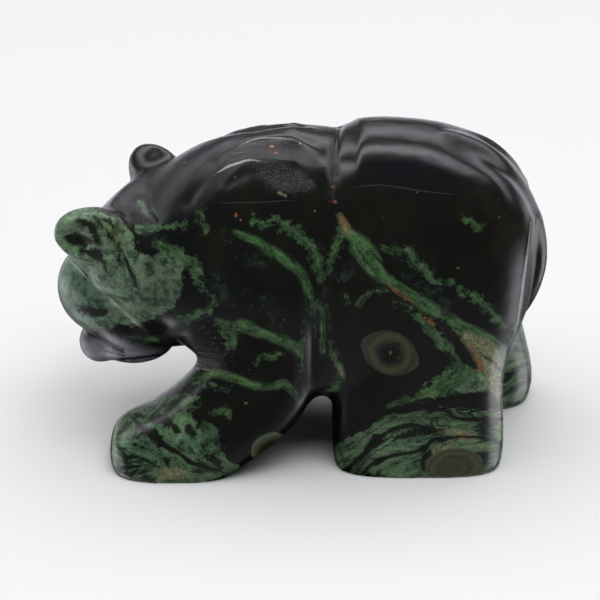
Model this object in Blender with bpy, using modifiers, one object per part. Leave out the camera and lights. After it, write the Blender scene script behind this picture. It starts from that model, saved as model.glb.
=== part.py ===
"""A small polished jasper carving of a walking bear, its head low and turned aside.

Run it with: blender --background --python part.py
Metres, +Z up. The bear walks towards -X and its left side faces -Y. The origin is on the
ground, in the middle of the box around the figure.
"""

import math

import bmesh
import bpy
import numpy as np
from mathutils import Euler, Matrix, Vector

# Driving dimension: the figure from forehead to tail. Its forms are hundredths of it.
LENGTH = 0.050
PART = LENGTH / 100

# Cuts whose size is set by the stone cutter's tools.
LEG_GAP = 0.0046
CREASE_WIDTH = 0.0060
CREASE_DEPTH = 0.0012
EAR_DRILL = 0.0033
EYE_DRILL = 0.0014
MOUTH_CUT = 0.0009
FURROW_WIDTH = 0.0030
FURROW_DEPTH = 0.0008
BLADE_WIDTH = 0.0020
BLADE_DEPTH = 0.0004
TAIL_WIDTH = 0.0022
TAIL_DEPTH = 0.0006

# How finely the form is held before it is reduced.
GRAIN = LENGTH / 125
TRIANGLES_KEPT = 9400
RING_POINTS = 48
RINGS_PER_STATION = 6
BEADS_PER_STATION = 8
CREASE_STEPS = 10

LEFT, RIGHT = -1, 1

# The barrel where the crease crosses it: half width, widest and highest z, and squareness.
BARREL_HALF, BARREL_WIDE, BARREL_TOP = 22.5, 32, 65
BARREL_POWER = 2.6
CREASE_X = 7.2
CREASE_REACH = 58

# The tail where it is thickest.
TAIL_RADIUS = 4.1

# The middle of the head at its ears, and how far the head is turned to the bear's right.
HEAD_X, HEAD_Y = -35, 1.7
HEAD_TURN = 19.4
EAR_SPLAY = 37
EAR_TIP = 17


def folder(name):
    """A new collection in the scene."""
    made = bpy.data.collections.new(name)
    bpy.context.scene.collection.children.link(made)
    return made


def between(stations, steps):
    """The stations of a loft or stroke with smooth ones filled in between them."""
    rows = np.array(stations, float)
    padded = np.vstack([2 * rows[0] - rows[1], rows, 2 * rows[-1] - rows[-2]])
    filled = []
    for before, start, end, after in zip(padded, padded[1:], padded[2:], padded[3:]):
        for step in range(steps):
            t = step / steps
            filled.append(
                start
                + 0.5 * t * (end - before)
                + t * t * (before - 2.5 * start + 2 * end - 0.5 * after)
                + t * t * t * (1.5 * (start - end) + 0.5 * (after - before))
            )
    return [*filled, rows[-1]]


def rounded(angle, power):
    """A point on the unit outline that is a circle at power 2 and squarer above it."""
    c, s = math.cos(angle), math.sin(angle)
    reach = (abs(c) ** power + abs(s) ** power) ** (-1 / power)
    return c * reach, s * reach


def loft(rings):
    """A closed skin over rings of points, as a mesh in hundredths of the length."""
    skin = bmesh.new()
    loops = [[skin.verts.new(point) for point in ring] for ring in rings]
    for lower, upper in zip(loops, loops[1:]):
        for i in range(len(lower)):
            j = (i + 1) % len(lower)
            skin.faces.new((lower[i], lower[j], upper[j], upper[i]))
    skin.faces.new(reversed(loops[0]))
    skin.faces.new(loops[-1])
    bmesh.ops.recalc_face_normals(skin, faces=skin.faces)
    return skin


def lump(centre, radii, turn=(0, 0, 0), power=2.0):
    """A ball stretched to three radii and turned, squarer as its power rises."""
    ball = bmesh.new()
    bmesh.ops.create_icosphere(ball, subdivisions=4, radius=1)
    spin = Euler([math.radians(angle) for angle in turn]).to_matrix()
    for vertex in ball.verts:
        reach = sum(abs(c) ** power for c in vertex.co) ** (-1 / power)
        vertex.co = spin @ (vertex.co * reach * Vector(radii)) + Vector(centre)
    return ball


def stroke(stations):
    """A row of beads along a smooth path. A station is x, y, z and radius."""
    beads = bmesh.new()
    for x, y, z, radius in between(stations, BEADS_PER_STATION):
        start = len(beads.verts)
        bmesh.ops.create_icosphere(beads, subdivisions=2, radius=radius)
        beads.verts.ensure_lookup_table()
        bmesh.ops.translate(beads, vec=(x, y, z), verts=beads.verts[start:])
    return beads


def trunk(stations):
    """A body of upright sections from front to back.

    A station is x, lowest, widest and highest z, middle y, half width, and the power of
    the section below and above its widest.
    """
    rings = []
    for x, low, wide, high, y, half, under, over in between(stations, RINGS_PER_STATION):
        ring = []
        for i in range(RING_POINTS):
            angle = 2 * math.pi * i / RING_POINTS
            above = math.sin(angle) > 0
            across, up = rounded(angle, over if above else under)
            height = high - wide if above else wide - low
            ring.append((x, y + half * across, wide + height * up))
        rings.append(ring)
    return loft(rings)


def limb(stations):
    """A leg of level sections from the ground up.

    A station is z, front x, back x, left y, right y and power.
    """
    rings = []
    for z, front, back, left, right, power in between(stations, RINGS_PER_STATION):
        ring = []
        for i in range(RING_POINTS):
            along, across = rounded(2 * math.pi * i / RING_POINTS, power)
            x = (front + back) / 2 + (back - front) / 2 * along
            ring.append((x, (left + right) / 2 + (right - left) / 2 * across, z))
        rings.append(ring)
    return loft(rings)


def body():
    """Rump, barrel, shoulders and neck, one behind the other."""
    return trunk(
        [
            (-36, 28, 38, 47, 2, 13, 2.2, 2.2),
            (-30, 25, 38, 53, 1.5, 17, 2.3, 2.2),
            (-24, 22, 37, 58, 0.8, 19.4, 2.6, 2.2),
            (-16, 17, 35, 62.2, 0.4, 21.4, 3.2, 2.3),
            (-8, 14, 32, 64, 0, 22, 4, 2.4),
            (0, 12.5, 32, 65, 0, 22.5, 4, 2.5),
            (8, 13.5, BARREL_WIDE, BARREL_TOP, 0, BARREL_HALF, 4, BARREL_POWER),
            (16, 14, 32, 65.8, 0, 23, 4, 2.6),
            (26, 15, 32, 65, 0, 23, 3.4, 2.6),
            (33, 16, 34, 63, 0, 22.8, 3, 2.6),
            (39, 18, 36, 60.5, 0, 21.8, 2.8, 2.6),
            (43, 24, 38, 57, 0, 19.5, 2.6, 2.6),
            (45.5, 31, 40, 53.5, 0, 16, 2.6, 2.6),
            (47, 38, 43, 50, 0, 9, 2.4, 2.4),
        ]
    )


def near_front_leg(inner):
    """The left front leg, which reaches forward and a little outward."""
    return limb(
        [
            (-3, -36, -17, -26, -inner, 2.6),
            (0, -38, -13, -26.6, -inner, 3.2),
            (4, -38.3, -7.5, -26.6, -inner, 3.4),
            (7, -36.8, -3.8, -26.3, -inner, 3.4),
            (10, -31, -0.8, -25.8, -inner, 3.4),
            (16, -23.6, 3, -24.5, -inner, 3.2),
            (24, -18, 4.5, -23.3, -inner, 2.8),
            (36, -15, 4, -21.4, -inner, 2.6),
            (46, -12, 0, -16, -inner, 2.4),
        ]
    )


def far_front_leg(inner):
    """The right front leg, straight below its shoulder."""
    return limb(
        [
            (-3, -20, -3, inner, 24, 2.6),
            (0, -21, -2, inner, 24.5, 2.8),
            (4, -21.5, 0, inner, 24.5, 3.0),
            (9, -19, 1, inner, 24, 3.0),
            (16, -17, 2, inner, 23.5, 3.0),
            (24, -16, 3, inner, 23, 2.8),
            (36, -15, 3, inner, 22.5, 2.6),
            (46, -12, 0, inner, 19, 2.4),
        ]
    )


def near_hind_leg(inner):
    """The left hind leg, a broad post under the haunch."""
    return limb(
        [
            (-3, 8, 38, -22, -inner, 3.0),
            (0, 7, 40.5, -24.4, -inner, 3.6),
            (6, 6.5, 41, -24, -inner, 3.6),
            (18, 6.5, 40.6, -23.4, -inner, 3.4),
            (28, 7, 42, -23.2, -inner, 3.0),
            (38, 9, 42, -22.8, -inner, 2.6),
            (46, 14, 36, -20, -inner, 2.4),
        ]
    )


def far_hind_leg(inner):
    """The right hind leg, a step behind the left one."""
    return limb(
        [
            (-3, 18, 46, inner, 22, 2.6),
            (0, 17, 48, inner, 23, 2.8),
            (6, 16, 48.8, inner, 23.2, 3.0),
            (18, 13, 46, inner, 23.2, 3.0),
            (28, 10, 43, inner, 23.2, 3.0),
            (38, 9, 42, inner, 22.8, 2.8),
            (46, 14, 36, inner, 20, 2.4),
        ]
    )


def neck():
    """The left side of the neck, which swells because the head turns to the right."""
    return lump((-26, -9, 42), (8.5, 8.5, 8.5))


def tail():
    """The tail, a crescent that grows out of the spine and curls down between the haunches."""
    return stroke(
        [
            (30, 0, 62, 3.2),
            (37.3, 0, 58.3, 3.8),
            (43.9, 0, 48.3, TAIL_RADIUS),
            (46.2, 0, 39, TAIL_RADIUS),
            (45.2, 0, 31.4, 3.8),
            (42.6, 0, 25, 2.8),
            (40, 0, 22, 1.8),
        ]
    )


def on_head(forward, across, up):
    """A point given from the middle of the head: to its front, to its right and its height."""
    turn = math.radians(HEAD_TURN)
    return (
        HEAD_X - forward * math.cos(turn) + across * math.sin(turn),
        HEAD_Y + forward * math.sin(turn) + across * math.cos(turn),
        up,
    )


def mask():
    """The broad upper head, widest under the ears and cut back towards the throat.

    It is a loft of level sections with the head facing -X, turned aside afterwards.
    """
    wedge = limb(
        [
            (21, 8, 13, -4, 4, 2.4),
            (25, 5.5, 16, -9, 9, 2.6),
            (30, 2.8, 18, -13.4, 13.4, 3),
            (34, 0, 18, -15.8, 15.8, 3.4),
            (38, -3, 17, -17.6, 17.6, 3.4),
            (43.4, -6.3, 12, -19.2, 19.2, 3),
            (48, -4.4, 7, -18, 18, 2.6),
            (52.5, 0, 5, -11, 11, 2.2),
        ]
    )
    turn = Matrix.Rotation(math.radians(-HEAD_TURN), 3, "Z")
    bmesh.ops.rotate(wedge, cent=(0, 0, 0), matrix=turn, verts=wedge.verts)
    bmesh.ops.translate(wedge, vec=(HEAD_X, HEAD_Y, 0), verts=wedge.verts)
    return wedge


def snout():
    """The round face with its short muzzle, jaw and throat."""
    level = (0, 0, -HEAD_TURN)
    return [
        lump(on_head(2.2, 0.5, 30), (12.8, 12.2, 10.7), level),
        lump(on_head(-3, 0, 25), (10, 11, 7.5), level),
        lump(on_head(6.6, 1, 16.8), (4.8, 5.5, 4.8), level),
        lump(on_head(-1, 1, 17.6), (8.5, 6.5, 4.2), (0, -8, -HEAD_TURN)),
        lump(on_head(-10, 0, 26.3), (8, 9, 7), level),
    ]


def ear_turn(side):
    """How an ear on this side is turned: tipped up and splayed outward from the head."""
    return 0, EAR_TIP, -HEAD_TURN - side * EAR_SPLAY


def ears():
    """Two stubby ears, wide apart on the crown, that run down into the temples without a neck."""
    lumps = []
    for side in (LEFT, RIGHT):
        lumps.append(lump(on_head(-1, side * 15.8, 48.1), (9.7, 5.3, 6), ear_turn(side)))
        lumps.append(lump(on_head(-5, side * 14.6, 42), (8, 4.6, 7.5), (0, 0, -HEAD_TURN)))
    return lumps


def crease():
    """The fold behind the shoulders, deepest on the spine and gone halfway down the sides."""
    radius = CREASE_WIDTH / 2 / PART
    beads = []
    for side in (LEFT, RIGHT):
        path = []
        for step in range(CREASE_STEPS + 1):
            down = step / CREASE_STEPS
            across, up = rounded(math.radians(90 - CREASE_REACH * down), BARREL_POWER)
            out = radius - CREASE_DEPTH / PART * (1 - down**2)
            y = side * across * (BARREL_HALF + out)
            z = BARREL_WIDE + up * (BARREL_TOP - BARREL_WIDE + out)
            path.append((CREASE_X - down, y, z, radius))
        beads.append(stroke(path))
    return beads


def side_furrows():
    """An upright furrow between each front leg and the belly."""
    radius = FURROW_WIDTH / 2 / PART
    out = BARREL_HALF + radius - FURROW_DEPTH / PART
    path = [(3.5, 38, 1.6), (3.4, 33, 0.4), (3.4, 26, 0), (4, 19, 0), (5, 13, 0)]
    return [
        stroke([(x, side * (out + rise), z, radius) for x, z, rise in path])
        for side in (LEFT, RIGHT)
    ]


def shoulder_hollows():
    """Two shallow dished patches on each shoulder blade, just in front of the crease."""
    lumps = []
    for side in (LEFT, RIGHT):
        lumps.append(lump((-1, side * 7.5, 68.5), (8, 5, 6), (-side * 8, 0, 0)))
        lumps.append(lump((-5, side * 15.3, 64.7), (9, 5, 6), (-side * 36, 0, 0)))
    return lumps


def blade_cuts():
    """A groove along the front edge of each shoulder blade, from the neck up to the hollows."""
    radius = BLADE_WIDTH / 2 / PART
    out = radius - BLADE_DEPTH / PART
    path = [
        (-24.5, 17, 53.5),
        (-21, 12.3, 55.4),
        (-16.5, 7.9, 60.5),
        (-12.5, 5.5, 62.6),
        (-8, 5.2, 63.5),
        (-3, 5.4, 64.6),
    ]
    return [
        stroke([(x, side * (y + 0.4 * out), z + 0.9 * out, radius) for x, y, z in path])
        for side in (LEFT, RIGHT)
    ]


def tail_grooves():
    """A groove down each side of the tail, which sets it off from the haunches."""
    radius = TAIL_WIDTH / 2 / PART
    out = radius - TAIL_DEPTH / PART
    path = [
        (33, 64.6, 0.4),
        (37.5, 60.9, 0.5),
        (42.2, 57.4, 0.75),
        (46.6, 50, 0.95),
        (47, 44, 1),
        (46.8, 38, 1),
        (45.6, 32, 0.95),
        (43.7, 26, 0.9),
        (42.9, 22, 1),
    ]
    spread = TAIL_RADIUS + 0.4 * radius
    return [
        stroke([(x + out * back, side * spread, z + out * (1 - back), radius) for x, z, back in path])
        for side in (LEFT, RIGHT)
    ]


def drilled():
    """The hollow of each ear and the two small eyes."""
    ear, eye = EAR_DRILL / 2 / PART, EYE_DRILL / 2 / PART
    holes = []
    for side in (LEFT, RIGHT):
        hollow = (ear * 1.05, ear * 0.8, ear * 0.75)
        holes.append(lump(on_head(2.3, side * 21.9, 49.1), hollow, ear_turn(side)))
        holes.append(lump(on_head(-0.8, side * 14.2, 36), (eye,) * 3))
    return holes


def mouth():
    """The parting of the lips, which wraps round the end of the muzzle."""
    radius = MOUTH_CUT / 2 / PART
    half = [(1, 8.5, 15.8), (5, 7.5, 14.6), (8.6, 4, 13.4), (9.6, 0, 13)]
    path = [(forward, 1 - across, up) for forward, across, up in half]
    path += [(forward, 1 + across, up) for forward, across, up in reversed(half[:-1])]
    return stroke([(*on_head(*point), radius) for point in path])


def fused(name, lumps, where):
    """One object that holds all the lumps, in metres, ready to be melted together."""
    whole = bmesh.new()
    for piece in lumps:
        mesh = bpy.data.meshes.new("lump")
        piece.to_mesh(mesh)
        piece.free()
        whole.from_mesh(mesh)
        bpy.data.meshes.remove(mesh)
    bmesh.ops.scale(whole, vec=(PART, PART, PART), verts=whole.verts)
    mesh = bpy.data.meshes.new(name)
    whole.to_mesh(mesh)
    whole.free()
    made = bpy.data.objects.new(name, mesh)
    where.objects.link(made)
    return made


def melt(target, name, grain, passes):
    """Modifiers that run the lumps into one skin and smooth it, as polishing does."""
    skin = target.modifiers.new(f"{name}_skin", "REMESH")
    skin.mode = "VOXEL"
    skin.voxel_size = grain
    smooth = target.modifiers.new(f"{name}_polish", "SMOOTH")
    smooth.factor = 0.5
    smooth.iterations = passes


def cut(target, cutter):
    """A Boolean that takes the cutter out of the target, which carries it along."""
    cutter.parent = target
    cutter.hide_render = True
    cutter.display_type = "WIRE"
    taken = target.modifiers.new(f"cut_{cutter.name}", "BOOLEAN")
    taken.operation = "DIFFERENCE"
    taken.object = cutter


def block(name, low, high, where):
    """A box cutter between two corners, in hundredths of the length."""
    low, high = Vector(low) * PART, Vector(high) * PART
    mesh = bpy.data.meshes.new(name)
    cube = bmesh.new()
    bmesh.ops.create_cube(cube, size=1)
    cube.to_mesh(mesh)
    cube.free()
    made = bpy.data.objects.new(name, mesh)
    made.location = (low + high) / 2
    made.scale = high - low
    where.objects.link(made)
    return made


def reduced(target, kept):
    """Fewer, larger faces where the form is calm, so that about this many triangles are left."""
    graph = bpy.context.evaluated_depsgraph_get()
    finished = target.evaluated_get(graph).to_mesh()
    finished.calc_loop_triangles()
    found = len(finished.loop_triangles)
    thin = target.modifiers.new("fewer_faces", "DECIMATE")
    thin.ratio = min(1, kept / found)


def centred(target):
    """Moves the object so that the origin is in the middle of the box around it."""
    graph = bpy.context.evaluated_depsgraph_get()
    finished = target.evaluated_get(graph).to_mesh()
    points = np.array([vertex.co for vertex in finished.vertices])
    middle = (points.min(axis=0) + points.max(axis=0)) / 2
    target.location = (-middle[0], -middle[1], 0)


def stone_material():
    """Polished dark green jasper."""
    stone = bpy.data.materials.new("kambaba_jasper")
    stone.use_nodes = True
    shader = stone.node_tree.nodes["Principled BSDF"]
    shader.inputs["Base Color"].default_value = (0.02, 0.045, 0.025, 1)
    shader.inputs["Roughness"].default_value = 0.18
    shader.inputs["Metallic"].default_value = 0
    return stone


def main():
    for old in list(bpy.data.objects):
        bpy.data.objects.remove(old)
    figure = folder("jasper_bear")
    cutters = folder("cutters")
    inner = LEG_GAP / 2 / PART
    lumps = [
        body(),
        near_front_leg(inner),
        far_front_leg(inner),
        near_hind_leg(inner),
        far_hind_leg(inner),
        neck(),
        tail(),
        mask(),
        *snout(),
        *ears(),
    ]
    bear = fused("bear", lumps, figure)
    bear.data.materials.append(stone_material())
    melt(bear, "blank", GRAIN, 12)
    carving = [
        *crease(),
        *side_furrows(),
        *shoulder_hollows(),
        *blade_cuts(),
        *tail_grooves(),
        *drilled(),
        mouth(),
    ]
    strokes = fused("strokes", carving, cutters)
    melt(strokes, "strokes", GRAIN / 2, 4)
    cut(bear, strokes)
    melt(bear, "carved", GRAIN, 5)
    cut(bear, block("ground", (-80, -60, -20), (80, 60, 0), cutters))
    reduced(bear, TRIANGLES_KEPT)
    centred(bear)


if __name__ == "__main__":
    main()
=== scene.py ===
"""A small bear carved from one lump of dark green orbicular jasper, polished, on a pale table in soft light.

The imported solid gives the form. A finer mesh of the same form stands for it here, with the shallow cuts,
ridges and saw marks of the carving, and with the veins, patches and orbs of the stone laid where the
photograph shows them. The sides that the photograph does not show carry veins of the same kind.
"""

import math

import bpy
import numpy as np
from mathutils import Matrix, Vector
from mathutils.bvhtree import BVHTree


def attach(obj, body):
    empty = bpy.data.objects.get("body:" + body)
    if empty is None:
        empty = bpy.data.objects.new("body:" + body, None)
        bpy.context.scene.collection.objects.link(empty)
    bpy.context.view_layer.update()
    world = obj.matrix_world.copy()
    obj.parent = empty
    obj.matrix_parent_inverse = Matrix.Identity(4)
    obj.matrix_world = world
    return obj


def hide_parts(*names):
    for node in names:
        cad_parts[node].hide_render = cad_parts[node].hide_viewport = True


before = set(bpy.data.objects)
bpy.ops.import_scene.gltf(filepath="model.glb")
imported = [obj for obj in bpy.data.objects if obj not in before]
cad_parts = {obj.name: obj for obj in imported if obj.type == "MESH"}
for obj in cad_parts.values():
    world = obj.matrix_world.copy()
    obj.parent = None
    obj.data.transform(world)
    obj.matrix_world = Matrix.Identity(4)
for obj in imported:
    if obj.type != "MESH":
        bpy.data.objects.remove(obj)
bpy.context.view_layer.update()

# The photograph's view
MM = 0.001
VIEW_TILT = math.radians(25)
VIEW_DISTANCE = 0.300
VIEW_TARGET = (-0.000106, 0.000525, 0.014)
PICTURE_SIZE = 600
PIXELS_PER_MM = 9.84
SENSOR_WIDTH = 36.0

# The fine mesh: its grid in metres, and how often and how far its points move to smooth the facets away
VOXEL = 0.000275
SMOOTHING_ROUNDS = 26
RELAX_PULL = 0.55
RELAX_PUSH = 0.58

# How often each point's normal, and how far the photograph shows it, are blended with its neighbours'
BLEND_ROUNDS = 3

# Points below this height, in metres, are set on the ground
SOLE_BAND = 0.00012

# Crisp light veins on the near side, as x, y and half width in picture pixels
VEINS = {
    "shoulder": [(234, 232, 2), (246, 237, 4), (256, 241, 4.5), (268, 249, 5), (281, 257, 5.5),
        (292, 265, 5.5), (301, 274, 5), (306, 284, 4.5), (310, 298, 4), (312, 312, 4)],
    "chest": [(217, 321, 3), (231, 327, 6), (245, 326, 7), (258, 332, 5), (276, 338, 5), (293, 346, 6),
        (304, 353, 7), (306, 362, 4)],
    "leg": [(187, 381, 2.5), (201, 378, 4), (215, 373, 4.5), (229, 377, 4.5), (243, 381, 4.5),
        (256, 386, 4), (270, 387, 3.5), (284, 384, 4), (292, 391, 3.5), (298, 398, 1.5)],
    "haunch": [(342, 229, 5), (357, 239, 7), (369, 251, 7.5), (376, 263, 6.5), (383, 274, 5.5),
        (394, 284, 5.5), (407, 292, 6), (421, 302, 7), (435, 311, 7), (449, 320, 7), (463, 329, 8),
        (477, 338, 9.5), (490, 346, 11), (500, 357, 10)],
    "haunch root": [(352, 248, 3), (362, 262, 3.5), (373, 274, 4), (385, 281, 4)],
}

# Veins that are broken into blots
BROKEN_VEINS = {
    "neck": [(136, 229, 2.5), (150, 228, 3.2), (165, 227, 3.4), (181, 226, 3.4)],
    "cheek band": [(158, 244, 5), (171, 251, 6.5), (183, 257, 6), (193, 267, 5.5), (200, 275, 3.5)],
    "cheek loop": [(190, 272, 2), (196, 284, 2.5), (207, 291, 2.5), (214, 300, 3), (211, 308, 3),
        (200, 313, 4), (189, 318, 4.5), (178, 318, 3)],
    "chest bay": [(226, 330, 5), (232, 340, 6), (228, 345, 4)],
    "leg branch": [(207, 384, 3), (218, 388, 3), (229, 389, 2.5)],
    "fan low": [(170, 390, 1.5), (184, 386, 2), (198, 383, 2)],
    "fan high": [(190, 377, 1), (203, 370, 1.5), (216, 366, 1)],
    "apex left": [(343, 231, 4), (338, 241, 4.5), (333, 253, 4), (329, 264, 3.5), (327, 274, 3)],
    "upper one": [(382, 247, 2.2), (397, 252, 4), (408, 251, 3.6), (414, 262, 3.2), (425, 270, 4),
        (432, 278, 3.2), (439, 284, 2.5)],
    "upper two": [(450, 281, 2), (458, 289, 3), (466, 294, 3.2), (475, 297, 3.5), (484, 306, 3.8),
        (494, 316, 4), (504, 325, 3.5)],
    "lower bits": [(394, 302, 1.8), (404, 306, 2.2), (418, 316, 3.5), (425, 323, 3.5), (433, 334, 3.6),
        (444, 341, 4.2), (451, 349, 4), (452, 357, 3)],
    "small bits": [(359, 304, 3.4), (364, 297, 2.6), (376, 292, 1.4), (387, 292, 1)],
    "small dot": [(346, 298, 2.4), (348, 301, 2.4)],
    "haunch foot": [(466, 362, 9), (462, 374, 14), (448, 383, 11), (432, 391, 7.5), (418, 397, 4.5),
        (404, 402, 3.5), (390, 406, 2.5)],
    "furrow wedge": [(312, 306, 5), (320, 312, 8.5), (320, 326, 7), (318, 340, 5), (322, 352, 3.5)],
    "furrow left": [(306, 322, 2), (303, 340, 3), (303, 360, 3), (302, 376, 2)],
    "triangle": [(327, 343, 3), (333, 353, 3.5), (338, 363, 3.5), (342, 374, 3.8), (340, 380, 3),
        (333, 386, 3), (324, 392, 2.5)],
    "muzzle streak": [(127, 338, 1.8), (141, 340, 2.2), (156, 341, 1.5)],
    "cream patch": [(466, 221, 3), (472, 223, 3.4), (477, 228, 3)],
    "neck dots": [(204, 209, 1.5), (199, 214, 2.5), (203, 220, 3), (205, 230, 2)],
    "shoulder dots": [(253, 216, 2), (256, 222, 4.5), (263, 224, 3), (272, 221, 3), (280, 222, 4),
        (287, 228, 5), (296, 234, 5), (303, 242, 4)],
    "shoulder haze": [(303, 240, 4), (312, 250, 6), (318, 262, 7), (322, 276, 5)],
    "muzzle root": [(140, 204, 1.5), (146, 209, 2.5), (152, 213, 1.5)],
    "chest blots": [(256, 362, 1.6), (264, 356, 1.4), (274, 358, 1.8), (280, 352, 1.2)],
    "leg blots": [(210, 414, 1.4), (225, 411, 2), (229, 415, 1.6)],
    "foot bits": [(203, 424, 2), (211, 430, 3), (212, 441, 4), (209, 448, 4), (218, 450, 3)],
    "haunch bits": [(402, 303, 2.4), (410, 309, 2.6), (418, 317, 3), (428, 326, 4), (436, 333, 4),
        (440, 343, 4), (449, 351, 5), (456, 357, 4)],
}

# Green areas on the near side, as outlines in picture pixels: smooth ones and layered ones
PATCHES = {
    "haunch low": [(446, 388), (455, 374), (464, 364), (474, 364), (484, 356), (494, 348), (504, 350),
        (505, 388), (492, 392), (466, 394)],
    "head": [(50, 226), (57, 210), (72, 200), (88, 204), (104, 211), (118, 219), (129, 228), (134, 240),
        (134, 250), (142, 254), (154, 256), (162, 247), (176, 250), (187, 262), (180, 270), (184, 284),
        (180, 295), (176, 306), (165, 312), (149, 321), (131, 325), (117, 325), (98, 330), (78, 330),
        (52, 316), (40, 284), (44, 250)],
}
LAYERED = {
    "front foot": [(150, 398), (158, 392), (168, 394), (184, 394), (197, 396), (202, 402), (198, 414),
        (211, 424), (218, 433), (222, 451), (232, 463), (240, 468), (232, 476), (196, 490), (120, 494),
        (100, 470), (104, 440), (126, 416)],
    "hind foot": [(328, 478), (330, 452), (350, 438), (372, 425), (392, 412), (420, 404), (450, 400),
        (476, 398), (512, 392), (512, 460), (490, 490), (334, 490)],
    "far hind leg": [(503, 348), (512, 328), (522, 318), (542, 350), (542, 392), (520, 414), (498, 410)],
}

# Tan and orange streaks inside the green
TANS = {
    "haunch end": [(468, 338, 8), (480, 348, 12), (490, 360, 12), (493, 376, 10), (497, 392, 7),
        (499, 410, 5), (499, 430, 3)],
    "apex": [(340, 216, 2), (344, 225, 4), (349, 236, 3)],
    "triangle": [(333, 354, 1.5), (337, 363, 2), (342, 373, 2)],
    "foot heel": [(166, 474, 6), (182, 473, 5)],
    "hind brown": [(446, 430, 3), (460, 434, 5), (474, 437, 4)],
    "hind yellow": [(432, 452, 4), (441, 449, 5), (454, 445, 4)],
    "hind edge": [(474, 448, 1.5), (482, 447, 2.5), (490, 450, 1.5)],
}
RUSTS = {
    "haunch middle": [(385, 283, 0.8), (394, 290, 1.8), (405, 297, 2), (415, 303, 1.4)],
    "haunch lower": [(425, 317, 1.6), (431, 322, 1.8), (440, 327, 1), (450, 331, 2), (458, 336, 1.5)],
    "haunch end": [(467, 338, 2), (471, 347, 2.2), (475, 354, 1.2), (480, 362, 3), (482, 370, 2.6)],
    "apex": [(343, 219, 1.6), (347, 226, 1.8)],
    "hind brown": [(458, 435, 2), (470, 437, 1.6)],
    "leg orb": [(268, 444, 2.4), (274, 440, 2.4)],
}

# Dark areas that interrupt the green; those in the furrow, under the face and in the ear's hollow are painted
# shade in recesses
DARKS = {
    "haunch blob": [(452, 336, 3), (459, 347, 5), (466, 357, 6), (472, 365, 4)],
    # Painted shade in the furrow between the front leg and the belly
    "furrow": [(311, 330, 4), (310, 362, 7), (309, 402, 9)],
    "haunch bay": [(436, 320, 1.5), (446, 327, 3), (456, 340, 4)],
    # Painted shade under the face, and in the ear's hollow on the next line
    "chin band": [(80, 309, 3), (92, 312, 4.5), (104, 313, 3.5)],
    "ear hollow": [(70, 238, 5), (79, 239, 7), (87, 242, 5)],
    "ear rim": [(79, 219, 2.5), (88, 224, 4), (95, 232, 4), (97, 240, 4)],
    "ear root": [(84, 252, 3), (93, 254, 5), (101, 260, 4), (106, 268, 2)],
    "ear spots": [(104, 219, 1.6), (112, 226, 1.6), (115, 234, 1.4), (108, 213, 1.4)],
    "cheek fold": [(186, 276, 4), (188, 290, 5), (183, 303, 4)],
    "foot knot": [(153, 433, 5), (160, 437, 4)],
    "foot heel": [(207, 456, 3), (214, 462, 4), (221, 467, 2)],
    "foot spot": [(188, 428, 4), (193, 434, 4)],
    "foot upper": [(161, 418, 4), (170, 423, 5), (178, 432, 3)],
    "foot front": [(140, 428, 4), (150, 434, 5)],
    "ear dots": [(92, 214, 1.8), (99, 222, 1.6), (106, 233, 1.8), (120, 247, 1.6), (118, 262, 1.8)],
    "hind orb rim": [(425, 470, 4), (424, 460, 4), (430, 450, 2)],
    "hind orb right": [(480, 462, 5), (486, 456, 4), (478, 470, 4)],
    "hind mud": [(395, 437, 2), (410, 434, 4), (424, 431, 4), (436, 433, 3)],
    "hind front": [(372, 446, 4), (378, 440, 4)],
}

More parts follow.
